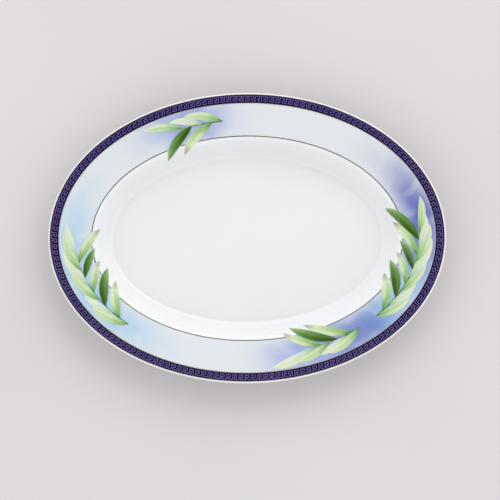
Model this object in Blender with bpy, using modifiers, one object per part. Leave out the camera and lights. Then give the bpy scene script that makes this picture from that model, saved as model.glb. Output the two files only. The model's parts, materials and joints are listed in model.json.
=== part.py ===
"""Oval china serving platter that lies on its foot ring.

Metres, +Z up. +X runs along the platter's length, and the origin is on the table under its middle.
Every layer is turned from a (radius, height) outline on the short axis and then stretched along X,
so that a line at one distance in from the rim keeps that distance all the way round.
"""

import math

import bpy

# The whole platter.
LENGTH = 0.340
WIDTH = 0.250
HEIGHT = 0.0285
SEGMENTS = 60

# The porcelain. An inset is a distance in from the rim's edge.
RIM_SLOPE = 0.15
RIM_WALL = 0.0034
FLOOR_WALL = 0.0052
SHOULDER_INSET = 0.037
FLOOR_INSET = 0.0555
VERGE_RADIUS = 0.007
VERGE_STEPS = 5
EDGE_STEPS = 4
FOOT_HEIGHT = 0.0028
FOOT_INSET = 0.0570
FOOT_WIDTH = 0.0042
FOOT_TAPER = 0.0006
GLAZE_END = 0.0009
FLOOR_HEIGHT = FOOT_HEIGHT + FLOOR_WALL

# Layers. Real ones are thinner, and gap is the room between two of them.
GLAZE = 0.0003
PRINT = 0.0002
GAP = 0.0002

# Prints on the rim.
BAND_INSETS = (0.0026, 0.0088)
GOLD_OUTER_INSETS = (0.0020, 0.0024)
GOLD_INNER_INSETS = (0.0090, 0.0095)
GROUND_INSETS = (0.0097, 0.0359)
GOLD_WELL_INSETS = (0.0361, 0.0370)
SPRIG_INSETS = (0.0097, 0.0680)

# Printed sprigs. Leaves grow by one rule, by turns out and in, from a stem along the rim. Each sprig:
# where its first and last leaf grow, in degrees round the oval from the right end, and its leaves.
LEFT_SPRIG = (226.0, 188.0, 11)
TOP_SPRIG = (98.0, 112.0, 5)
RIGHT_SPRIG = (-42.0, 2.0, 13)
LOWER_SPRIG = (-50.0, -68.0, 7)
STEM_INSET = 0.0230
STEM_WIDTH = 0.0022
STEM_STEPS = 9
STEM_OVERRUN = 2.6
LEAF_LENGTH = 0.031
LEAF_WIDTH = 0.0072
LEAF_REACH_OUT = 0.0095
LEAF_REACH_IN = 0.0190
LEAF_BOW = 0.0022
LEAF_VARIATION = 0.16
LEAF_RHYTHM = 2.4
LEAF_STEPS = 5
LEAF_FULLNESS = 0.7
PRISM_HALF = 0.020
PRISM_STEP = 0.0005
MERGE = 0.00001
SHARP_ANGLE = 35.0

# Each finish: its colour as linear RGB, its roughness and how metallic it is.
BISQUE = ((0.70, 0.66, 0.60), 0.6, 0.0)
WHITE_GLAZE = ((0.86, 0.86, 0.85), 0.08, 0.0)
PALE_BLUE = ((0.74, 0.79, 0.83), 0.12, 0.0)
COBALT = ((0.012, 0.006, 0.10), 0.15, 0.0)
GOLD = ((0.60, 0.45, 0.20), 0.25, 1.0)
LEAF_GREEN = ((0.42, 0.58, 0.26), 0.15, 0.0)


def rim_height(inset):
    """Height of the upper face where the rim's straight slope holds."""
    return HEIGHT - RIM_SLOPE * inset


def verge_angle():
    """Angle of the straight part of the verge, which touches the bend above and the bend below."""
    rim = math.atan(RIM_SLOPE)
    across = FLOOR_INSET - SHOULDER_INSET + VERGE_RADIUS * math.sin(rim)
    drop = rim_height(SHOULDER_INSET) - FLOOR_HEIGHT - VERGE_RADIUS * (1 + math.cos(rim))
    return math.atan2(drop, across) + math.asin(2 * VERGE_RADIUS / math.hypot(across, drop))


def face_angle(inset):
    """Angle at which the upper face rises outwards: rim, upper bend, verge, lower bend, floor."""
    rim = math.atan(RIM_SLOPE)
    upper = math.sin(rim) + max(0.0, inset - SHOULDER_INSET) / VERGE_RADIUS
    lower = max(0.0, FLOOR_INSET - inset) / VERGE_RADIUS
    if inset <= SHOULDER_INSET:
        return rim
    return math.asin(min(upper, lower, math.sin(verge_angle())))


def face_height(inset):
    """Height of the glazed upper face: a straight rim, a verge between two bends and a flat floor."""
    if inset <= SHOULDER_INSET:
        return rim_height(inset)
    rim = math.atan(RIM_SLOPE)
    steepest = verge_angle()
    angle = face_angle(inset)
    if inset < SHOULDER_INSET + VERGE_RADIUS * (math.sin(steepest) - math.sin(rim)):
        return rim_height(SHOULDER_INSET) - VERGE_RADIUS * (math.cos(rim) - math.cos(angle))
    straight = max(0.0, FLOOR_INSET - VERGE_RADIUS * math.sin(steepest) - inset)
    return FLOOR_HEIGHT + VERGE_RADIUS * (1 - math.cos(angle)) + straight * math.tan(steepest)


def face_point(inset, depth):
    """(radius, height) of the point that lies depth below the upper face, square to it."""
    angle = face_angle(inset)
    return WIDTH / 2 - inset + depth * math.sin(angle), face_height(inset) - depth * math.cos(angle)


def wall(inset):
    """Thickness of the porcelain with its glaze, which grows from the edge to the floor."""
    share = min(1.0, inset / FLOOR_INSET)
    return RIM_WALL + (FLOOR_WALL - RIM_WALL) * share


def edge_inset():
    """Where the rim's straight slope meets its rounded edge."""
    return RIM_WALL / 2 * (1 + math.sin(math.atan(RIM_SLOPE)))


def face_insets():
    """Insets of the rings that the two faces are turned from, from the floor out to the edge."""
    run = FLOOR_INSET - SHOULDER_INSET
    verge = [FLOOR_INSET - run * i / VERGE_STEPS for i in range(VERGE_STEPS + 1)]
    return verge + [edge_inset()]


def skin(depth):
    """Outline that lies depth under the glaze's surface, from the middle of the well, out over the
    rim's edge and back under it to the top of the foot ring."""
    points = [(0.0, face_point(FLOOR_INSET, depth)[1])]
    points += [face_point(inset, depth) for inset in face_insets()]
    middle = face_point(edge_inset(), RIM_WALL / 2)
    start = math.pi / 2 + math.atan(RIM_SLOPE)
    for i in range(1, EDGE_STEPS):
        angle = start - math.pi * i / EDGE_STEPS
        reach = RIM_WALL / 2 - depth
        points.append((middle[0] + reach * math.cos(angle), middle[1] + reach * math.sin(angle)))
    points += [face_point(inset, wall(inset) - depth) for inset in reversed(face_insets())]
    points.append((WIDTH / 2 - FOOT_INSET - depth, FOOT_HEIGHT + depth))
    return points


def body_outline():
    """Bisque blank: the skin under the glaze, then the foot ring and the underside inside it."""
    depth = GLAZE + GAP
    outer = WIDTH / 2 - FOOT_INSET - depth
    inner = WIDTH / 2 - FOOT_INSET - FOOT_WIDTH
    foot = [(outer - FOOT_TAPER, 0.0), (inner + FOOT_TAPER, 0.0), (inner, FOOT_HEIGHT + depth)]
    return skin(depth) + foot + [(0.0, FOOT_HEIGHT + depth)]


def glaze_outline():
    """Glaze: out along its surface, down to a little above the table, and back along its inside."""
    share = 1 - GLAZE_END / FOOT_HEIGHT
    surface = WIDTH / 2 - FOOT_INSET - FOOT_TAPER * share
    ends = [(surface, GLAZE_END), (surface - GLAZE, GLAZE_END)]
    return skin(0.0) + ends + list(reversed(skin(GLAZE)))


def foot_well_outline():
    """Disc of glaze on the underside, inside the foot ring."""
    radius = WIDTH / 2 - FOOT_INSET - FOOT_WIDTH - GAP
    top = FOOT_HEIGHT + GLAZE
    return [(0.0, top), (radius, top), (radius, FOOT_HEIGHT), (0.0, FOOT_HEIGHT)]


def print_outline(insets, rise):
    """Closed outline of a print between two insets, whose underside lies rise above the glaze."""
    first, last = insets
    rings = [last] + [inset for inset in face_insets() if first < inset < last] + [first]
    upper = [face_point(inset, -rise - PRINT) for inset in rings]
    lower = [face_point(inset, -rise) for inset in reversed(rings)]
    return upper + lower


def collection(name, hidden=False):
    made = bpy.data.collections.new(name)
    bpy.context.scene.collection.children.link(made)
    made.hide_render = hidden
    return made


def material(name, colour, roughness, metallic):
    made = bpy.data.materials.new(name)
    made.use_nodes = True
    shader = made.node_tree.nodes["Principled BSDF"]
    shader.inputs["Base Color"].default_value = (*colour, 1.0)
    shader.inputs["Roughness"].default_value = roughness
    shader.inputs["Metallic"].default_value = metallic
    return made


def evaluated_mesh(obj):
    """The mesh that an object's modifiers or curve make."""
    bpy.context.view_layer.update()
    graph = bpy.context.evaluated_depsgraph_get()
    return bpy.data.meshes.new_from_object(obj.evaluated_get(graph), depsgraph=graph)


def turn(outline, closed):
    """Mesh turned about Z from the outline, which runs down its outer side."""
    mesh = bpy.data.meshes.new("outline")
    edges = [(i, i + 1) for i in range(len(outline) - 1)]
    if closed:
        edges.append((len(outline) - 1, 0))
    mesh.from_pydata([(radius, 0.0, height) for radius, height in outline], edges, [])
    guide = bpy.data.objects.new("outline", mesh)
    bpy.context.scene.collection.objects.link(guide)
    screw = guide.modifiers.new("Turn", "SCREW")
    screw.steps = SEGMENTS
    screw.render_steps = SEGMENTS
    screw.use_merge_vertices = True
    screw.merge_threshold = MERGE
    turned = evaluated_mesh(guide)
    bpy.data.objects.remove(guide)
    return turned


def stretch(mesh):
    """Moves each point along X by the same share of the oval's extra length, except on the axis."""
    extra = (LENGTH - WIDTH) / 2
    for vertex in mesh.vertices:
        radius = math.hypot(vertex.co.x, vertex.co.y)
        if radius > MERGE:
            vertex.co.x += extra * vertex.co.x / radius


def layer(name, outline, finish, home, closed=False):
    """Object for one layer of the platter."""
    mesh = turn(outline, closed)
    stretch(mesh)
    mesh.name = name
    mesh.materials.append(finish)
    mesh.shade_smooth()
    mesh.set_sharp_from_angle(angle=math.radians(SHARP_ANGLE))
    made = bpy.data.objects.new(name, mesh)
    home.objects.link(made)
    return made


def rim_point(turn, inset):
    """(x, y) of the point at one angle round the oval, inset from its edge."""
    return (LENGTH / 2 - inset) * math.cos(turn), (WIDTH / 2 - inset) * math.sin(turn)


def turn_of(share, first, last):
    return math.radians(first + (last - first) * share)


def sprig_leaves(first, last, count):
    """Base, tip, width and bow of each leaf of a sprig."""
    way = math.copysign(1.0, last - first)
    leaves = []
    for i in range(count):
        turn = turn_of(i / (count - 1), first, last)
        size = 1 + LEAF_VARIATION * math.sin(LEAF_RHYTHM * i)
        reach = (LEAF_REACH_IN if i % 2 else -LEAF_REACH_OUT) * size
        base = rim_point(turn, STEM_INSET)
        per_radian = math.hypot(*rim_point(turn + math.pi / 2, STEM_INSET))
        tip = rim_point(turn + way * LEAF_LENGTH * size / per_radian, STEM_INSET + reach)
        leaves.append((base, tip, LEAF_WIDTH * size, -way * LEAF_BOW * size))
    return leaves


def stem_outline(first, last):
    """(x, y) points round the strip that the leaves grow from, which runs on past both end leaves."""
    over = math.copysign(STEM_OVERRUN, last - first)
    turns = [turn_of(i / STEM_STEPS, first - over, last + over) for i in range(STEM_STEPS + 1)]
    outer = [rim_point(turn, STEM_INSET - STEM_WIDTH / 2) for turn in turns]
    inner = [rim_point(turn, STEM_INSET + STEM_WIDTH / 2) for turn in reversed(turns)]
    return outer + inner


def leaf_outline(base, tip, width, bow):
    """(x, y) points round a leaf that is pointed at both ends and bows to one side."""
    along_x, along_y = tip[0] - base[0], tip[1] - base[1]
    length = math.hypot(along_x, along_y)
    side_x, side_y = -along_y / length, along_x / length
    left, right = [], []
    for i in range(1, LEAF_STEPS):
        u = i / LEAF_STEPS
        arch = 4 * u * (1 - u) * bow
        half = width / 2 * math.sin(math.pi * u) ** LEAF_FULLNESS
        x, y = base[0] + along_x * u, base[1] + along_y * u
        left.append((x + side_x * (arch + half), y + side_y * (arch + half)))
        right.append((x + side_x * (arch - half), y + side_y * (arch - half)))
    return [base] + right + [tip] + list(reversed(left))


def prism(name, outline, half_height, home):
    """Upright prism on an outline, for cutting."""
    curve = bpy.data.curves.new(name, "CURVE")
    curve.dimensions = "2D"
    curve.fill_mode = "BOTH"
    curve.extrude = half_height
    spline = curve.splines.new("POLY")
    spline.points.add(len(outline) - 1)
    for point, (x, y) in zip(spline.points, outline):
        point.co = (x, y, 0.0, 1.0)
    spline.use_cyclic_u = True
    drawn = bpy.data.objects.new(name, curve)
    home.objects.link(drawn)
    mesh = evaluated_mesh(drawn)
    bpy.data.objects.remove(drawn)
    made = bpy.data.objects.new(name, mesh)
    home.objects.link(made)
    made.location.z = HEIGHT / 2
    made.hide_render = True
    made.display_type = "WIRE"
    weld = made.modifiers.new("Weld", "WELD")
    weld.merge_threshold = MERGE
    return made


def sprig(name, shape, finish, home, cutters):
    """Printed sprig: a thin ring above the ground print, kept only where its stem and leaves are."""
    ring = layer(name, print_outline(SPRIG_INSETS, 2 * GAP + PRINT), finish, home, True)
    first, last, _ = shape
    outlines = [stem_outline(first, last)] + [leaf_outline(*leaf) for leaf in sprig_leaves(*shape)]
    prisms = []
    for i, outline in enumerate(outlines):
        half_height = PRISM_HALF + i * PRISM_STEP
        prisms.append(prism(f"{name}_cutter_{i}", outline, half_height, cutters))
    for other in prisms[1:]:
        join = prisms[0].modifiers.new("Join", "BOOLEAN")
        join.operation = "UNION"
        join.object = other
    keep = ring.modifiers.new("Keep leaves", "BOOLEAN")
    keep.operation = "INTERSECT"
    keep.object = prisms[0]
    return ring


def main():
    for old in list(bpy.data.objects):
        bpy.data.objects.remove(old)
    home = collection("serving_platter")
    cutters = collection("cutters", hidden=True)

    bisque = material("bisque", *BISQUE)
    glaze = material("glaze", *WHITE_GLAZE)
    ground = material("pale_blue_print", *PALE_BLUE)
    cobalt = material("cobalt_print", *COBALT)
    gold = material("gold_line", *GOLD)
    leaf = material("leaf_print", *LEAF_GREEN)

    layer("porcelain_body", body_outline(), bisque, home)
    layer("glaze_coat", glaze_outline(), glaze, home)
    layer("glaze_foot_well", foot_well_outline(), glaze, home)

    layer("rim_ground_transfer", print_outline(GROUND_INSETS, GAP), ground, home, True)
    layer("border_band", print_outline(BAND_INSETS, GAP), cobalt, home, True)
    layer("gold_line_outer", print_outline(GOLD_OUTER_INSETS, GAP), gold, home, True)
    layer("gold_line_band_inner", print_outline(GOLD_INNER_INSETS, GAP), gold, home, True)
    layer("gold_line_well", print_outline(GOLD_WELL_INSETS, GAP), gold, home, True)

    sprig("leaf_sprig_left", LEFT_SPRIG, leaf, home, cutters)
    sprig("leaf_sprig_top", TOP_SPRIG, leaf, home, cutters)
    sprig("leaf_sprig_right", RIGHT_SPRIG, leaf, home, cutters)
    sprig("leaf_sprig_lower", LOWER_SPRIG, leaf, home, cutters)


main()
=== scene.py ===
"""Looks of the oval china platter: fine surfaces, prints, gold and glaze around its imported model."""
import json
import math

import bmesh
import bpy
import numpy as np
from mathutils import Matrix, Vector


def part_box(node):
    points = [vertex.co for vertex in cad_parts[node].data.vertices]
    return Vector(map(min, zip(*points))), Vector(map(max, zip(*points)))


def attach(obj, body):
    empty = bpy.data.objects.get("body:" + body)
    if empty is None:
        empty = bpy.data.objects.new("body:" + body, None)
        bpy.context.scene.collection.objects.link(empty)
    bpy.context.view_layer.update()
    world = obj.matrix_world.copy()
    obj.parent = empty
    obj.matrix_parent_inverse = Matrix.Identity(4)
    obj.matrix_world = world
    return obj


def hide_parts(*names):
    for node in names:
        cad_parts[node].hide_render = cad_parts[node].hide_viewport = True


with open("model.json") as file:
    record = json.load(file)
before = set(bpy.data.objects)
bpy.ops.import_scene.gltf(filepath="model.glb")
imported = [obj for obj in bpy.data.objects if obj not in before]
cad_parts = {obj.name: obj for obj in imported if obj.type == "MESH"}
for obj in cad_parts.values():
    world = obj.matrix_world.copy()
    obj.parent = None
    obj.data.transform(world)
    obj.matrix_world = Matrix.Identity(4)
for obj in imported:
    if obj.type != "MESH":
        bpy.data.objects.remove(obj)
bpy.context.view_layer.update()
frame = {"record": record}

MM = 0.001

# ---------------------------------------------------------------- the section, read from the frame

GLAZE_LOW, GLAZE_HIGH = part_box("glaze_coat")
HALF_LENGTH = GLAZE_HIGH.x
HALF_WIDTH = GLAZE_HIGH.y
EXTRA = HALF_LENGTH - HALF_WIDTH


def outer_inset(node):
    """How far in from the rim's edge a node's outside lies."""
    return HALF_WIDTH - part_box(node)[1].y


MOUNTS = {mount["name"]: mount for mount in frame["record"]["mounts"]}
FLOOR = MOUNTS["well_floor"]["pos_m"][2]
CAD_LIFT = 0.4 * MM
BAND_INSET = outer_inset("border_band")
GROUND_INSET = outer_inset("rim_ground_transfer")
GOLD_WELL_INSET = outer_inset("gold_line_well")
BAND_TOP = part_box("border_band")[1].z - CAD_LIFT
GOLD_WELL_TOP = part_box("gold_line_well")[1].z - CAD_LIFT
RIM_SLOPE = (BAND_TOP - GOLD_WELL_TOP) / (GOLD_WELL_INSET - BAND_INSET)
SHOULDER_INSET = GOLD_WELL_INSET + 0.9 * MM
FLOOR_INSET = 55.5 * MM
VERGE_RADIUS = 7 * MM
RIM_WALL = 3.4 * MM
FLOOR_WALL = 5.2 * MM
FOOT_INSET = 57 * MM
FOOT_WIDTH = 4.2 * MM
FOOT_HEIGHT = FLOOR - FLOOR_WALL
FOOT_TAPER = 0.6 * MM
GLAZE_END = 0.9 * MM

# Layers, as heights above the surface of the glaze, and how thick the glaze and the prints are.
GLAZE = 0.20 * MM
GLAZE_GAP = 0.03 * MM
GROUND_LIFT = 0.020 * MM
GOLD_WELL_LIFT = 0.030 * MM
LEAF_LIFT = 0.040 * MM
LEAF_STEP = 0.006 * MM
BAND_LIFT = 0.190 * MM
KEY_LIFT = 0.230 * MM
GOLD_LIFT = 0.240 * MM
PRINT = 0.012 * MM
LEAF_THICKNESS = 0.005 * MM


def rim_height(inset):
    return BAND_TOP - RIM_SLOPE * (inset - BAND_INSET)


RIM_ANGLE = math.atan(RIM_SLOPE)
SHOULDER_HEIGHT = rim_height(SHOULDER_INSET)


def verge_angle():
    """Angle of the straight part of the verge, which touches the bend above and the bend below."""
    across = FLOOR_INSET - SHOULDER_INSET + VERGE_RADIUS * math.sin(RIM_ANGLE)
    drop = SHOULDER_HEIGHT - FLOOR - VERGE_RADIUS * (1 + math.cos(RIM_ANGLE))
    return math.atan2(drop, across) + math.asin(2 * VERGE_RADIUS / math.hypot(across, drop))


VERGE_ANGLE = verge_angle()
SLOPE_TOP = SHOULDER_INSET + VERGE_RADIUS * (math.sin(VERGE_ANGLE) - math.sin(RIM_ANGLE))
SLOPE_FOOT = FLOOR_INSET - VERGE_RADIUS * math.sin(VERGE_ANGLE)


def face_angle(inset):
    """Angle at which the upper face rises outwards: rim, upper bend, verge, lower bend, floor."""
    inset = np.asarray(inset, float)
    upper = math.sin(RIM_ANGLE) + np.maximum(0, inset - SHOULDER_INSET) / VERGE_RADIUS
    lower = np.maximum(0, FLOOR_INSET - inset) / VERGE_RADIUS
    angle = np.arcsin(np.minimum(np.minimum(upper, lower), math.sin(VERGE_ANGLE)))
    return np.where(inset <= SHOULDER_INSET, RIM_ANGLE, angle)


def face_height(inset):
    """Height of the glazed upper face at insets: a rim, a verge between two bends and a floor."""
    inset = np.asarray(inset, float)
    angle = face_angle(inset)
    upper = SHOULDER_HEIGHT - VERGE_RADIUS * (math.cos(RIM_ANGLE) - np.cos(angle))
    straight = np.maximum(0, SLOPE_FOOT - inset) * math.tan(VERGE_ANGLE)
    lower = FLOOR + VERGE_RADIUS * (1 - np.cos(angle)) + straight
    verge = np.where(inset < SLOPE_TOP, upper, lower)
    return np.where(inset <= SHOULDER_INSET, rim_height(inset), verge)


def face_point(inset, depth):
    """(radius, height) of points that lie depth below the upper face, square to it."""
    angle = face_angle(inset)
    return HALF_WIDTH - inset + depth * np.sin(angle), face_height(inset) - depth * np.cos(angle)


def inset_at(x, y):
    """Inset of the oval line that passes through each (x, y), found by halving."""
    low = np.zeros_like(x)
    high = np.full_like(x, HALF_WIDTH - MM)
    for _ in range(40):
        middle = (low + high) / 2
        inside = (x / (HALF_LENGTH - middle)) ** 2 + (y / (HALF_WIDTH - middle)) ** 2 < 1
        low = np.where(inside, middle, low)
        high = np.where(inside, high, middle)
    return (low + high) / 2


# ---------------------------------------------------------------- meshes


def make_object(name, vertices, faces, smooth=True):
    mesh = bpy.data.meshes.new(name)
    mesh.from_pydata([tuple(v) for v in vertices], [], [tuple(f) for f in faces])
    mesh.validate()
    mesh.update()
    if smooth:
        mesh.shade_smooth()
    made = bpy.data.objects.new(name, mesh)
    bpy.context.scene.collection.objects.link(made)
    return made


def piece(obj, slot, *nodes):
    """Rides on the platter and stands for CAD nodes."""
    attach(obj, "root")
    if nodes:
        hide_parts(*nodes)
    return obj


def oval(name, outline, segments, closed):
    """Object turned from (radius, height) points and stretched along X, with poles on the axis."""
    angles = np.arange(segments) * 2 * math.pi / segments
    vertices, rings = [], []
    for radius, height in outline:
        if radius < 0.001 * MM:
            rings.append([len(vertices)] * segments)
            vertices.append((0.0, 0.0, height))
            continue
        rings.append(list(range(len(vertices), len(vertices) + segments)))
        vertices += [((radius + EXTRA) * math.cos(t), radius * math.sin(t), height) for t in angles]
    faces = []
    count = len(rings)
    for i in range(count if closed else count - 1):
        upper, lower = rings[i], rings[(i + 1) % count]
        for j in range(segments):
            k = (j + 1) % segments
            corners = [upper[j], lower[j], lower[k], upper[k]]
            faces.append(list(dict.fromkeys(corners)))
    return make_object(name, vertices, faces)


def floor_rings(steps):
    """Insets across the flat floor, from near the middle out."""
    return [HALF_WIDTH - (HALF_WIDTH - FLOOR_INSET) * i / steps for i in range(1, steps + 1)]


def verge_and_rim(verge_steps, rim_steps):
    """Insets from the floor's edge out to where the rim's edge is rounded."""
    edge = edge_inset()
    run = SHOULDER_INSET - FLOOR_INSET
    verge = [FLOOR_INSET + run * i / verge_steps for i in range(1, verge_steps + 1)]
    run = edge - SHOULDER_INSET
    rim = [SHOULDER_INSET + run * i / rim_steps for i in range(1, rim_steps + 1)]
    return verge + rim


def edge_inset():
    return RIM_WALL / 2 * (1 + math.sin(RIM_ANGLE))


def wall(inset):
    return RIM_WALL + (FLOOR_WALL - RIM_WALL) * min(1.0, inset / FLOOR_INSET)


def skin(depth, verge_steps=22, rim_steps=12, edge_steps=14):
    """Outline depth under the glaze's surface, from the well's middle over the rim to the foot."""
    insets = floor_rings(3) + verge_and_rim(verge_steps, rim_steps)
    points = [(0.0, float(face_point(FLOOR_INSET, depth)[1]))]
    points += [tuple(map(float, face_point(inset, depth))) for inset in insets]
    middle = tuple(map(float, face_point(edge_inset(), RIM_WALL / 2)))
    start = math.pi / 2 + RIM_ANGLE
    reach = RIM_WALL / 2 - depth
    for i in range(1, edge_steps):
        angle = start - math.pi * i / edge_steps
        points.append((middle[0] + reach * math.cos(angle), middle[1] + reach * math.sin(angle)))
    under = [FLOOR_INSET] + verge_and_rim(verge_steps, rim_steps)
    points += [tuple(map(float, face_point(inset, wall(inset) - depth))) for inset in reversed(under)]
    return points


def foot_corner(depth):
    return HALF_WIDTH - FOOT_INSET - depth


def foot_fillet(depth, steps=5):
    """Small hollow curve where the underside turns down into the foot ring."""
    radius = 1.0 * MM
    x, z = foot_corner(depth) + radius, FOOT_HEIGHT + depth - radius
    points = []
    for i in range(steps + 1):
        angle = math.pi / 2 + math.pi / 2 * i / steps
        points.append((x + radius * math.cos(angle), z + radius * math.sin(angle)))
    return points


def body_object():
    depth = GLAZE + GLAZE_GAP
    inner = HALF_WIDTH - FOOT_INSET - FOOT_WIDTH
    low = 0.5 * MM
    outline = skin(depth, 14, 6, 8) + foot_fillet(depth)
    outline += [(foot_corner(depth) - FOOT_TAPER * 0.7, low), (foot_corner(depth) - FOOT_TAPER, 0.15 * MM)]
    outline += [(foot_corner(depth) - FOOT_TAPER - 0.4 * MM, 0.0), (inner + FOOT_TAPER + 0.4 * MM, 0.0)]
    outline += [(inner + FOOT_TAPER, 0.15 * MM), (inner + FOOT_TAPER * 0.7, low)]
    outline += [(inner, FOOT_HEIGHT + depth - 0.4 * MM), (inner - 0.4 * MM, FOOT_HEIGHT + depth)]
    outline.append((0.0, FOOT_HEIGHT + depth))
    return oval("porcelain_bisque", outline, 300, False)


def glaze_object():
    taper = FOOT_TAPER * 0.6
    ends = [(foot_corner(0) - taper, GLAZE_END + 0.1 * MM), (foot_corner(0) - taper - GLAZE / 2, GLAZE_END)]
    ends.append((foot_corner(GLAZE) - taper, GLAZE_END + 0.1 * MM))
    back = list(reversed(skin(GLAZE) + foot_fillet(GLAZE)))
    return oval("glaze_skin", skin(0.0) + foot_fillet(0.0) + ends + back, 420, False)


def foot_well_object():
    radius = HALF_WIDTH - FOOT_INSET - FOOT_WIDTH - 0.5 * MM
    top = FOOT_HEIGHT + GLAZE
    outline = [(0.0, top), (radius, top), (radius + 0.05 * MM, FOOT_HEIGHT + GLAZE / 2)]
    outline += [(radius, FOOT_HEIGHT), (radius * 0.5, FOOT_HEIGHT), (0.0, FOOT_HEIGHT)]
    return oval("foot_well_glaze", outline, 300, False)


def ring_object(name, inner, outer, lift, steps, segments, thickness=PRINT):
    """Thin closed ring that follows the upper face between two insets, its top lift above it."""
    insets = [inner + (outer - inner) * i / steps for i in range(steps + 1)]
    upper = [tuple(map(float, face_point(inset, -lift))) for inset in insets]
    lower = [tuple(map(float, face_point(inset, thickness - lift))) for inset in reversed(insets)]
    return oval(name, upper + lower, segments, True)


# ---------------------------------------------------------------- the key pattern

KEY_UNITS = 170
KEY_INSET = 5.0 * MM
KEY_HEIGHT = 3.9 * MM
KEY_LINE = 0.64 * MM
# Filled cells of one key, as (column, row). Columns and rows alternate between a line's width and
# the room between lines, and row 0 is towards the well.
KEY_CELLS = [(0, 0), (0, 1), (0, 2), (0, 3), (0, 4), (1, 4), (2, 4), (3, 4), (4, 4), (4, 3), (4, 2)]
KEY_CELLS += [(3, 2), (2, 2), (2, 1), (2, 0), (3, 0), (4, 0), (5, 0)]
KEY_STROKES = (0.0, 0.4, 0.74)


def key_lines(pitch):
    """Distances along the band, and up it, of the lines that bound the key's cells."""
    half = KEY_LINE / 2
    along = []
    for share in KEY_STROKES:
        along += [share * pitch - half, share * pitch + half]
    up = []
    for share in (0.0, 0.5, 1.0):
        up += [share * KEY_HEIGHT - half, share * KEY_HEIGHT + half]
    return along, up


def arc_table(inset, count=7200):
    """Angles round the oval and the distance travelled to each, clockwise from the left end."""
    angles = math.pi - np.arange(count + 1) * 2 * math.pi / count
    x = (HALF_LENGTH - inset) * np.cos(angles)
    y = (HALF_WIDTH - inset) * np.sin(angles)
    return angles, np.concatenate([[0], np.cumsum(np.hypot(np.diff(x), np.diff(y)))])


def key_object():
    """Running key drawn in raised enamel: one closed ribbon of cells round the band."""
    angles, travelled = arc_table(KEY_INSET)
    pitch = travelled[-1] / KEY_UNITS
    along, up = key_lines(pitch)
    a, b = HALF_LENGTH - KEY_INSET, HALF_WIDTH - KEY_INSET
    bm = bmesh.new()
    made = {}

    def corner(unit, column, row):
        unit, column = (unit + column // 6) % KEY_UNITS, column % 6
        key = (unit, column, row)
        if key not in made:
            t = np.interp((unit * pitch + along[column]) % travelled[-1], travelled, angles)
            normal = Vector((b * math.cos(t), a * math.sin(t))).normalized()
            rise = up[row] - KEY_HEIGHT / 2
            x, y = a * math.cos(t) + normal.x * rise, b * math.sin(t) + normal.y * rise
            inset = inset_at(np.array([x]), np.array([y]))[0]
            made[key] = bm.verts.new((x, y, float(face_height(inset)) + KEY_LIFT))
        return made[key]

    for unit in range(KEY_UNITS):
        for column, row in KEY_CELLS:
            corners = [(column, row), (column, row + 1), (column + 1, row + 1), (column + 1, row)]
            bm.faces.new([corner(unit, c, r) for c, r in corners])
    bmesh.ops.recalc_face_normals(bm, faces=bm.faces)
    if sum(face.normal.z for face in bm.faces) < 0:
        bmesh.ops.reverse_faces(bm, faces=bm.faces)
    mesh = bpy.data.meshes.new("key_line")
    bm.to_mesh(mesh)
    bm.free()
    obj = bpy.data.objects.new("key_line", mesh)
    bpy.context.scene.collection.objects.link(obj)
    thick = obj.modifiers.new("Thickness", "SOLIDIFY")
    thick.thickness = 0.03 * MM
    thick.offset = -1
    return obj


# ---------------------------------------------------------------- colours and materials


def linear(code):
    """Linear RGB of a hex colour."""
    values = np.array([int(code[i : i + 2], 16) / 255 for i in (1, 3, 5)])
    return np.where(values <= 0.04045, values / 12.92, ((values + 0.055) / 1.055) ** 2.4)


PORCELAIN = linear("#f1f1f0")
GROUND = linear("#e3e7e9")
CREAM = linear("#e8ebd6")
PALE = linear("#e1ebca")
LIME = linear("#d2e5b6")
MINT = linear("#bedaa8")
LEAF = linear("#a3c98a")
GREEN = linear("#8bb870")
MID = linear("#76a256")
MOSS = linear("#5c8440")
DEEP = linear("#3f5f0b")
DARK = linear("#2b4600")
MIST = linear("#cde0de")
GREY = linear("#9ba48f")


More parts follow.
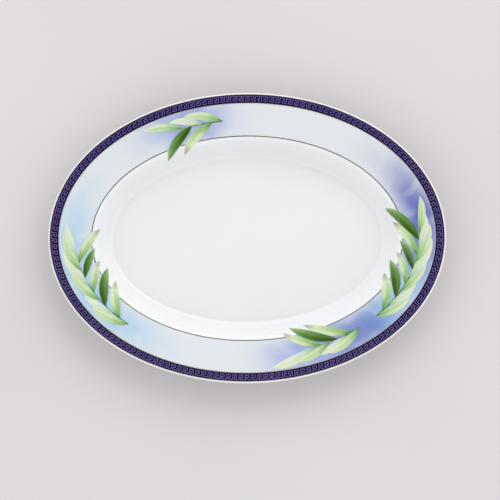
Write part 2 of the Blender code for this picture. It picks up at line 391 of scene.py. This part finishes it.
class Shader:
    """A material's nodes, with short ways to add the ones that repeat."""

    def __init__(self, name, roughness, metallic=0.0, coat=0.0):
        self.material = bpy.data.materials.new(name)
        self.material.use_nodes = True
        self.tree = self.material.node_tree
        self.shader = self.tree.nodes["Principled BSDF"]
        self.shader.inputs["Roughness"].default_value = roughness
        self.shader.inputs["Metallic"].default_value = metallic
        self.shader.inputs["IOR"].default_value = 1.5
        self.shader.inputs["Coat Weight"].default_value = coat
        self.shader.inputs["Coat Roughness"].default_value = 0.03
        self.place = self.node("ShaderNodeTexCoord").outputs["Object"]

    def node(self, kind, **values):
        made = self.tree.nodes.new(kind)
        for name, value in values.items():
            setattr(made, name, value)
        return made

    def link(self, output, socket):
        self.tree.links.new(output, socket)

    def noise(self, scale, detail=3.0, stretch=(1, 1, 1)):
        mapping = self.node("ShaderNodeMapping")
        mapping.inputs["Scale"].default_value = stretch
        noise = self.node("ShaderNodeTexNoise")
        noise.inputs["Scale"].default_value = scale
        noise.inputs["Detail"].default_value = detail
        self.link(self.place, mapping.inputs["Vector"])
        self.link(mapping.outputs["Vector"], noise.inputs["Vector"])
        return noise.outputs["Fac"]

    def spread(self, value, low, high, start=0.3, end=0.7):
        """value taken from start..end to low..high."""
        ranged = self.node("ShaderNodeMapRange")
        for name, number in zip(("From Min", "From Max", "To Min", "To Max"), (start, end, low, high)):
            ranged.inputs[name].default_value = number
        self.link(value, ranged.inputs["Value"])
        return ranged.outputs["Result"]

    def mix(self, factor, first, second, blend="MIX"):
        """Mix of two colours, each a socket or an RGB triple."""
        mixed = self.node("ShaderNodeMix", data_type="RGBA", blend_type=blend)
        colours = [s for s in mixed.inputs if s.type == "RGBA"]
        sockets = (mixed.inputs[0], colours[0], colours[1])
        for socket, value in zip(sockets, (factor, first, second)):
            if hasattr(value, "links"):
                self.link(value, socket)
            elif socket.type == "RGBA":
                socket.default_value = (*map(float, value), 1.0)
            else:
                socket.default_value = value
        return next(s for s in mixed.outputs if s.type == "RGBA")

    def product(self, first, second):
        """first times second, where second is a socket or a number."""
        times = self.node("ShaderNodeMath", operation="MULTIPLY")
        self.link(first, times.inputs[0])
        if hasattr(second, "links"):
            self.link(second, times.inputs[1])
        else:
            times.inputs[1].default_value = second
        return times.outputs[0]

    def attribute(self, name, output):
        return self.node("ShaderNodeAttribute", attribute_name=name).outputs[output]

    def bump(self, height, strength, distance):
        bump = self.node("ShaderNodeBump")
        bump.inputs["Strength"].default_value = strength
        bump.inputs["Distance"].default_value = distance
        self.link(height, bump.inputs["Height"])
        self.link(bump.outputs["Normal"], self.shader.inputs["Normal"])

    def colour(self, socket):
        self.link(socket, self.shader.inputs["Base Color"])

    def roughness(self, socket):
        self.link(socket, self.shader.inputs["Roughness"])


def bisque_material():
    """Unglazed fired clay: warm white, matt, with a fine grain."""
    look = Shader("bisque_look", 0.7)
    grain = look.noise(900, 4)
    tone = look.mix(look.spread(look.noise(60), 0, 1), linear("#e2d9c9"), linear("#eee8dc"))
    look.colour(look.mix(look.spread(grain, 0, 0.25), tone, linear("#cdbfa9")))
    look.roughness(look.spread(grain, 0.55, 0.8))
    look.bump(grain, 0.25, 0.05 * MM)
    return look.material


def glaze_material():
    """Clear glaze on white porcelain: glossy, with the faintest waviness and tone change."""
    look = Shader("white_glaze_look", 0.08, coat=0.25)
    look.colour(look.mix(look.spread(look.noise(14, 2), 0, 1), PORCELAIN, linear("#eeefef")))
    look.roughness(look.spread(look.noise(90, 2), 0.06, 0.10))
    look.bump(look.noise(55, 2), 0.06, 0.05 * MM)
    return look.material


def printed(name, roughness=0.10, shine=0.35):
    look = Shader(name, roughness)
    look.shader.inputs["Specular IOR Level"].default_value = shine
    return look


def ground_material():
    """Printed ground, with its washes of blue laid down in the mesh and a watery unevenness."""
    look = printed("rim_ground_look")
    wash = look.attribute("wash", "Color")
    cloud = look.spread(look.noise(45, 4), 0.0, 0.10)
    look.colour(look.mix(cloud, wash, GROUND))
    look.roughness(look.spread(look.noise(120, 2), 0.07, 0.12))
    return look.material


def cobalt_material():
    look = printed("cobalt_look", 0.12, 0.16)
    tone = look.mix(look.spread(look.noise(30, 3), 0, 1), linear("#08022e"), linear("#0e063c"))
    look.colour(look.mix(look.spread(look.noise(800, 2), 0, 0.2), tone, linear("#050120")))
    look.roughness(look.spread(look.noise(300, 3), 0.09, 0.16))
    return look.material


def key_material():
    look = printed("key_look", 0.2)
    tone = look.mix(look.spread(look.noise(120, 3), 0, 1), linear("#5e5089"), linear("#70629b"))
    look.colour(tone)
    look.roughness(look.spread(look.noise(400, 3), 0.15, 0.3))
    return look.material


def gold_material():
    look = Shader("gold_look", 0.3, metallic=1.0)
    tone = look.mix(look.spread(look.noise(160, 3), 0, 1), linear("#70674f"), linear("#887d61"))
    look.colour(tone)
    look.roughness(look.spread(look.noise(500, 3), 0.25, 0.42))
    return look.material


def leaf_material():
    """Leaf print: tints in the mesh, a dark midrib, fine veins along the leaf and soft mottling."""
    look = printed("leaf_look")
    tint = look.attribute("tint", "Color")
    across = look.node("ShaderNodeMath", operation="ABSOLUTE")
    look.link(look.attribute("across", "Fac"), across.inputs[0])
    line = look.spread(across.outputs[0], 1, 0, 0.08, 0.4)
    rib = look.product(line, look.attribute("rib", "Fac"))
    wave = look.node("ShaderNodeMath", operation="SINE")
    look.link(look.product(look.attribute("across", "Fac"), 8.0), wave.inputs[0])
    cover = look.attribute("cover", "Fac")
    vein = look.product(look.spread(wave.outputs[0], 0, 0.06, -1, 1), cover)
    veined = look.mix(vein, tint, linear("#6b9a48"))
    mottle = look.product(look.spread(look.noise(220, 3), 0, 0.5), cover)
    mottled = look.mix(mottle, veined, (0.88, 0.92, 0.78), "MULTIPLY")
    look.colour(look.mix(rib, mottled, linear("#3a5c14")))
    look.roughness(look.spread(look.noise(150, 2), 0.08, 0.13))
    return look.material


# ---------------------------------------------------------------- washes of blue on the ground

SKY = linear("#a3cbe8")
CLEAR_SKY = linear("#92c3e4")
PERIWINKLE = linear("#485bb4")
MID_VIOLET = linear("#6d80cc")
SOFT_VIOLET = linear("#9aaadb")

# Each wash follows the rim: its middle and half length, in degrees round the oval from the right
# end, its colour and its strength.
WASHES = [
    (198, 30, SKY, 0.88),
    (216, 14, CLEAR_SKY, 0.35),
    (112, 13, SOFT_VIOLET, 0.60),
    (108, 8, MID_VIOLET, 0.60),
    (6, 22, PERIWINKLE, 0.97),
    (-12, 10, MID_VIOLET, 0.60),
    (-36, 16, CLEAR_SKY, 0.92),
    (-56, 14, PERIWINKLE, 0.92),
    (-69, 13, SOFT_VIOLET, 0.80),
]
WASH_INSET = 20
WASH_HALF = 13
STREAKS = 0.22


def smoothstep(value, low, high):
    s = np.clip((value - low) / (high - low), 0, 1)
    return s * s * (3 - 2 * s)


def paint(colours, x, y):
    """Lays each wash over the colours at (x, y), in mm, with a soft edge bent by slow waves."""
    bent_x = x + 1.3 * np.sin(y / 5.1 + 0.7) + 0.8 * np.sin((x + y) / 3.3)
    bent_y = y + 1.3 * np.sin(x / 4.7 + 1.9) + 0.8 * np.sin((x - y) / 3.9)
    inset = inset_at(bent_x * MM, bent_y * MM)
    turn = np.degrees(np.arctan2(bent_y / (HALF_WIDTH - inset), bent_x / (HALF_LENGTH - inset)))
    away = (inset / MM - WASH_INSET) / WASH_HALF
    streak = 1 - STREAKS * smoothstep(np.sin(turn / 1.9 + away * 2.2) * np.sin(turn / 5.3), 0.3, 0.9)
    for middle, half, colour, strength in WASHES:
        along = ((turn - middle + 180) % 360 - 180) / half
        reach = along**2 + away**2
        share = (strength * streak * np.exp(-0.5 * reach**1.3))[:, None]
        colours = colours * (1 - share) + colour * share
    return colours


def add_colours(obj, name, colours):
    layer = obj.data.color_attributes.new(name, "FLOAT_COLOR", "POINT")
    rgba = np.concatenate([colours, np.ones((len(colours), 1))], axis=1)
    layer.data.foreach_set("color", rgba.astype(np.float32).ravel())


def add_values(obj, name, values):
    layer = obj.data.attributes.new(name, "FLOAT", "POINT")
    layer.data.foreach_set("value", np.asarray(values, np.float32))


def positions(obj):
    flat = np.empty(len(obj.data.vertices) * 3, np.float32)
    obj.data.vertices.foreach_get("co", flat)
    return flat.reshape(-1, 3).astype(float)


def ground_object():
    obj = ring_object("rim_ground", SHOULDER_INSET - 0.6 * MM, GROUND_INSET - 0.5 * MM, GROUND_LIFT, 44, 720)
    place = positions(obj) / MM
    colours = np.tile(GROUND, (len(place), 1))
    add_colours(obj, "wash", paint(colours, place[:, 0], place[:, 1]))
    return obj


# ---------------------------------------------------------------- leaves

ROWS, COLUMNS = 44, 12


# Each sprig: where its first and last leaf grow, in degrees round the oval from the right end, and
# its leaves. They grow by one rule, by turns out and in, from a stem along the rim. Sizes in mm.
SPRIGS = {
    "left": (226, 188, 11),
    "top": (98, 112, 5),
    "right": (-42, 2, 13),
    "lower": (-50, -68, 7),
}
STEM_INSET = 23
STEM_WIDTH = 1.1
LEAF_LENGTH = 31
LEAF_WIDTH = 7.2
LEAF_FULLNESS = 0.7
LEAF_REACH_OUT = 9.5
LEAF_REACH_IN = 19
LEAF_BOW = 2.2
LEAF_VARIATION = 0.16
LEAF_RHYTHM = 2.4
SPINE_STEPS = 8

# Finishes that the leaves take by turns: how far along, the colours of the left and right halves,
# then how dark the midrib is.
LEAF_FINISHES = [
    ([(0, MOSS, MID), (0.15, GREEN, LEAF), (0.45, MINT, LIME), (0.8, LIME, PALE), (1, PALE, PALE)], 0.30),
    ([(0, DEEP, MOSS), (0.12, MID, GREEN), (0.4, LIME, LEAF), (0.75, PALE, LIME), (1, GREY, GREY)], 0.20),
    ([(0, LEAF, LEAF), (0.25, LIME, MIST), (0.6, PALE, CREAM), (1, CREAM, CREAM)], 0.10),
    ([(0, DARK, DEEP), (0.4, DEEP, MOSS), (0.75, MOSS, MID), (1, MID, LEAF)], 0.15),
]
STEM_TINTS = [(0, DEEP, DEEP), (0.5, MOSS, MOSS), (1, GREEN, GREEN)]


def blade(spine, tints, rib=0.15, soft=0.9, cover=((0, 1), (1, 1))):
    """One leaf. spine: (x, y, width) in mm from its base to its tip. tints: (how far along, colour of
    the left half, colour of the right half). rib: how dark its midrib is. soft: how far its edge
    fades, in mm. cover: (how far along, how fully it covers what is below)."""
    return dict(spine=spine, tints=tints, rib=rib, soft=soft, cover=cover)


def rim_point(turn, inset):
    """(x, y) in mm of the point at one angle round the oval, inset from its edge."""
    across, up = HALF_LENGTH / MM - inset, HALF_WIDTH / MM - inset
    return np.array([across * math.cos(turn), up * math.sin(turn)])


def sprig_blades(first, last, count):
    """The stem of a sprig, then its leaves."""
    turns = [math.radians(first + (last - first) * i / (count - 1)) for i in range(count)]
    way = math.copysign(1, last - first)
    blades = [blade([(*rim_point(turn, STEM_INSET), STEM_WIDTH) for turn in turns], STEM_TINTS, 0, 0.5)]
    for i, turn in enumerate(turns):
        size = 1 + LEAF_VARIATION * math.sin(LEAF_RHYTHM * i)
        reach = (LEAF_REACH_IN if i % 2 else -LEAF_REACH_OUT) * size
        base = rim_point(turn, STEM_INSET)
        per_radian = np.hypot(*rim_point(turn + math.pi / 2, STEM_INSET))
        tip = rim_point(turn + way * LEAF_LENGTH * size / per_radian, STEM_INSET + reach)
        side = np.array([base[1] - tip[1], tip[0] - base[0]]) / np.hypot(*(tip - base))
        spine = []
        for u in np.linspace(0, 1, SPINE_STEPS + 1):
            place = base + (tip - base) * u - side * way * 4 * u * (1 - u) * LEAF_BOW * size
            spine.append((*place, max(0.3, LEAF_WIDTH * size * math.sin(math.pi * u) ** LEAF_FULLNESS)))
        tints, rib = LEAF_FINISHES[i % len(LEAF_FINISHES)]
        blades.append(blade(spine, tints, rib))
    return blades


def smooth_line(points, count):
    """count points along a smooth curve through the given ones, evenly spaced, widths included."""
    points = np.array(points, float)
    ends = np.vstack([2 * points[0] - points[1], points, 2 * points[-1] - points[-2]])
    s = np.linspace(0, 1, 16, endpoint=False)[:, None]
    runs = []
    for a, b, c, d in zip(ends, ends[1:], ends[2:], ends[3:]):
        runs.append(0.5 * (2 * b + (c - a) * s + (2 * a - 5 * b + 4 * c - d) * s**2
                           + (3 * b - a - 3 * c + d) * s**3))
    line = np.vstack(runs + [points[-1:]])
    gone = np.concatenate([[0], np.cumsum(np.hypot(*np.diff(line[:, :2], axis=0).T))])
    wanted = np.linspace(0, gone[-1], count)
    return np.column_stack([np.interp(wanted, gone, line[:, i]) for i in range(3)])


class Leaf:
    """A blade's centre line, half widths and left-hand directions at evenly spaced places."""

    def __init__(self, given):
        self.given = given
        line = smooth_line(given["spine"], ROWS + 1)
        self.line = line[:, :2]
        self.half = np.maximum(line[:, 2] / 2 + given["soft"] * 0.45, 0.12)
        heading = np.gradient(self.line, axis=0)
        heading /= np.hypot(*heading.T)[:, None]
        self.side = np.column_stack([-heading[:, 1], heading[:, 0]])
        self.u = np.linspace(0, 1, ROWS + 1)

    def colour(self, u, v):
        """Tint at each place u along (0 to 1) and v across (-1 to 1)."""
        stops = self.given["tints"]
        where = [stop[0] for stop in stops]
        left, right = (np.column_stack([np.interp(u, where, [stop[side][i] for stop in stops])
                                        for i in range(3)]) for side in (1, 2))
        share = smoothstep(v, 0.22, -0.22)[:, None]
        return left * (1 - share) + right * share

    def cover(self, u, v, half):
        """How fully the leaf hides what is below: less at soft edges and where it fades."""
        stops = self.given["cover"]
        along = np.interp(u, [stop[0] for stop in stops], [stop[1] for stop in stops])
        return along * smoothstep((1 - np.abs(v)) * half, -0.05, self.given["soft"])

    def over(self, colours, x, y):
        """colours at (x, y) with this leaf laid over them."""
        apart = np.stack([x, y], axis=1)[:, None, :] - self.line[None]
        nearest = np.argmin((apart**2).sum(2), axis=1)
        offset = (apart[np.arange(len(x)), nearest] * self.side[nearest]).sum(1)
        ahead = (apart[np.arange(len(x)), nearest] ** 2).sum(1) - offset**2
        half = self.half[nearest]
        v = offset / half
        spacing = np.hypot(*(self.line[1] - self.line[0]))
        inside = (np.abs(v) <= 1) & (ahead < spacing**2)
        share = np.where(inside, self.cover(self.u[nearest], np.clip(v, -1, 1), half), 0)[:, None]
        return colours * (1 - share) + self.colour(self.u[nearest], v) * share


def bare_colours(x, y):
    """Colour of the platter's face below the leaves at (x, y), in mm."""
    ground = paint(np.tile(GROUND, (len(x), 1)), x, y)
    in_well = (inset_at(x * MM, y * MM) > SHOULDER_INSET - 0.2 * MM)[:, None]
    return np.where(in_well, PORCELAIN, ground)


def leaf_object(name, leaf, below, level):
    """Thin closed leaf on the platter's face, tinted over the leaves below it."""
    v = np.linspace(-1, 1, COLUMNS + 1)
    v = np.sign(v) * np.abs(v) ** 0.8
    across = leaf.half[:, None] * v[None, :]
    grid = leaf.line[:, None, :] + leaf.side[:, None, :] * across[:, :, None]
    x, y = grid[..., 0].ravel(), grid[..., 1].ravel()
    z = face_height(inset_at(x * MM, y * MM)) + LEAF_LIFT + level * LEAF_STEP
    wide = COLUMNS + 1
    faces = []
    for i in range(ROWS):
        for j in range(COLUMNS):
            first = i * wide + j
            faces.append((first, first + wide, first + wide + 1, first + 1))
    obj = make_object(name, np.column_stack([x * MM, y * MM, z]), faces)
    colours = bare_colours(x, y)
    for lower in below:
        colours = lower.over(colours, x, y)
    u, along = np.repeat(leaf.u, wide), np.tile(v, ROWS + 1)
    half = np.repeat(leaf.half, wide)
    share = leaf.cover(u, along, half)
    colours = colours * (1 - share[:, None]) + leaf.colour(u, along) * share[:, None]
    add_colours(obj, "tint", colours)
    add_values(obj, "across", across.ravel())
    rib = leaf.given["rib"] * np.minimum(1, 5 * (1 - u)) * np.minimum(1, half / 0.8) * share
    add_values(obj, "rib", rib)
    add_values(obj, "cover", share)
    thick = obj.modifiers.new("Thickness", "SOLIDIFY")
    thick.thickness = LEAF_THICKNESS
    thick.offset = -1
    return obj


def sprig_objects(prefix, blades, material, node):
    laid = []
    for level, given in enumerate(blades):
        leaf = Leaf(given)
        obj = leaf_object(f"{prefix}_{level:02d}", leaf, laid, level)
        laid.append(leaf)
        obj.data.materials.append(material)
        piece(obj, "leaf_print", node)


# ---------------------------------------------------------------- the platter


def finished(obj, material, slot, *nodes):
    obj.data.materials.append(material)
    return piece(obj, slot, *nodes)


def build_platter():
    glaze = glaze_material()
    gold = gold_material()
    finished(body_object(), bisque_material(), "bisque", "porcelain_body")
    finished(glaze_object(), glaze, "glaze", "glaze_coat")
    finished(foot_well_object(), glaze, "glaze", "glaze_foot_well")
    finished(ground_object(), ground_material(), "pale_blue_print", "rim_ground_transfer")
    band = ring_object("cobalt_band", 8.75 * MM, 1.45 * MM, BAND_LIFT, 6, 720, 0.12 * MM)
    finished(band, cobalt_material(), "cobalt_print", "border_band")
    finished(key_object(), key_material(), "cobalt_print", "border_band")
    outer = ring_object("gold_edge_line", 1.7 * MM, 1.4 * MM, GOLD_LIFT, 2, 720, 0.05 * MM)
    finished(outer, gold, "gold_line", "gold_line_outer")
    inner = ring_object("gold_band_line", 8.9 * MM, 8.6 * MM, GOLD_LIFT, 2, 720, 0.05 * MM)
    finished(inner, gold, "gold_line", "gold_line_band_inner")
    inner_side, outer_side = SHOULDER_INSET + 0.2 * MM, SHOULDER_INSET - 0.6 * MM
    well = ring_object("gold_well_line", inner_side, outer_side, GOLD_WELL_LIFT, 3, 720)
    finished(well, gold, "gold_line", "gold_line_well")
    leaf = leaf_material()
    for side, shape in SPRIGS.items():
        sprig_objects(f"{side}_leaf", sprig_blades(*shape), leaf, f"leaf_sprig_{side}")


# ---------------------------------------------------------------- stage, light and camera

FLOOR_SIDE = 8.0
CAMERA_FRONT = 6.8
CAMERA_DISTANCE = 2.5
CAMERA_ROLL = 0.47
PIXELS_HALF = 250
RIM_HALF_PIXELS = 199.2
AIM = (2.3 * MM, -11.1 * MM)
# Upward parts of directions where the world starts and ends to darken, and its strengths there.
WORLD_CAP = (0.88, 0.955, 1.09, 0.10)


def build_floor():
    bpy.ops.mesh.primitive_plane_add(size=FLOOR_SIDE, location=(0, 0, -0.2 * MM))
    floor = bpy.context.object
    floor.name = "studio_floor"
    look = Shader("studio_floor_look", 0.9)
    look.colour(look.mix(look.spread(look.noise(3, 2), 0, 1), linear("#dbd6d7"), linear("#e0dcdc")))
    look.shader.inputs["Specular IOR Level"].default_value = 0.1
    floor.data.materials.append(look.material)


def add_area(name, place, target, size, power, colour=(1, 1, 1)):
    light = bpy.data.lights.new(name, "AREA")
    light.shape = "RECTANGLE"
    light.size, light.size_y = size
    light.energy = power
    light.color = colour
    lamp = bpy.data.objects.new(name, light)
    lamp.location = place
    lamp.rotation_euler = (Vector(target) - Vector(place)).to_track_quat("-Z", "Y").to_euler()
    bpy.context.scene.collection.objects.link(lamp)


def build_light():
    """Soft light from all sides with the top left dark, as behind a camera, and a softbox beyond."""
    world = bpy.data.worlds.new("studio")
    bpy.context.scene.world = world
    world.use_nodes = True
    tree = world.node_tree
    direction = tree.nodes.new("ShaderNodeTexCoord").outputs["Generated"]
    split = tree.nodes.new("ShaderNodeSeparateXYZ")
    tree.links.new(direction, split.inputs[0])
    cap = tree.nodes.new("ShaderNodeMapRange")
    cap.interpolation_type = "SMOOTHSTEP"
    for name, number in zip(("From Min", "From Max", "To Min", "To Max"), WORLD_CAP):
        cap.inputs[name].default_value = number
    tree.links.new(split.outputs["Z"], cap.inputs["Value"])
    background = tree.nodes["Background"]
    background.inputs["Color"].default_value = (0.98, 0.98, 1.0, 1)
    tree.links.new(cap.outputs["Result"], background.inputs["Strength"])
    add_area("key_softbox", (0.5, 1.6, 1.4), (0, 0, 0), (2.4, 1.4), 11)


def build_camera():
    """Camera nearly above the platter, a little towards its front, with +Y up in the image."""
    data = bpy.data.cameras.new("camera")
    camera = bpy.data.objects.new("camera", data)
    bpy.context.scene.collection.objects.link(camera)
    bpy.context.scene.camera = camera
    lean = math.radians(CAMERA_FRONT)
    back = Vector((0, -math.sin(lean), math.cos(lean)))
    up = (Vector((0, 1, 0)) - back * back.y).normalized()
    facing = Matrix((up.cross(back), up, back)).transposed()
    roll = Matrix.Rotation(math.radians(-CAMERA_ROLL), 3, "Z")
    camera.rotation_euler = (facing @ roll).to_euler()
    camera.location = Vector((AIM[0], AIM[1], GLAZE_HIGH.z)) + back * CAMERA_DISTANCE
    data.sensor_width = 36
    data.lens = 18 * CAMERA_DISTANCE * RIM_HALF_PIXELS / (PIXELS_HALF * HALF_LENGTH)
    data.clip_end = 50


def main():
    bpy.context.scene.view_settings.view_transform = "Standard"
    build_platter()
    build_floor()
    build_light()
    build_camera()


main()
